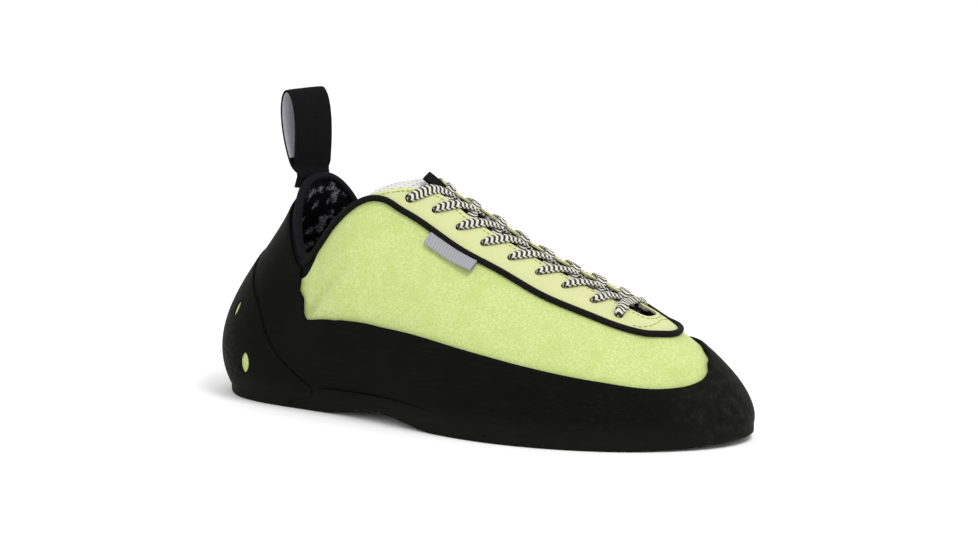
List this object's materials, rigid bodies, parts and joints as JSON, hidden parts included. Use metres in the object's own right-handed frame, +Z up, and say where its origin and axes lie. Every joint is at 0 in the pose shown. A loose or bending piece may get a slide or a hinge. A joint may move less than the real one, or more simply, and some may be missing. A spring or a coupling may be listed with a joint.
{
  "type": "climbing shoe",
  "caption": "Low-cut lace-up climbing shoe for the right foot, with a thin flat sole, a rubber rand and heel cup, and a webbing pull loop at the heel.",
  "frame": {"origin": "middle of the shoe's box, on the floor that the sole stands on", "axes": "+X towards the toe, +Y towards the inner side of the foot, +Z up"},
  "size_m": [0.2572, 0.0934, 0.1387],
  "materials": {
    "black_rubber": "matte, sanded",
    "lime_leather": "matte, fine grain",
    "grey_board": "matte",
    "white_pad": "matte, perforated",
    "black_webbing": "matte, woven",
    "grey_ribbon": "satin, woven",
    "checked_cord": "matte, woven in two colours"
  },
  "bodies": {
    "root": {"outsole": "black_rubber", "rand": "black_rubber", "heel_cup": "black_rubber", "upper": "lime_leather", "insole": "grey_board", "tongue": "white_pad", "tongue_tab": "black_webbing", "piping": "black_webbing", "collar_binding": "black_webbing", "pull_loop": "black_webbing", "side_tag": "grey_ribbon", "lace_bar": "checked_cord", "lace_cross_1": "checked_cord", "lace_cross_2": "checked_cord", "lace_cross_3": "checked_cord", "lace_cross_4": "checked_cord", "lace_cross_5": "checked_cord", "lace_cross_6": "checked_cord", "lace_cross_7": "checked_cord", "lace_cross_8": "checked_cord"}
  },
  "joints": []
}
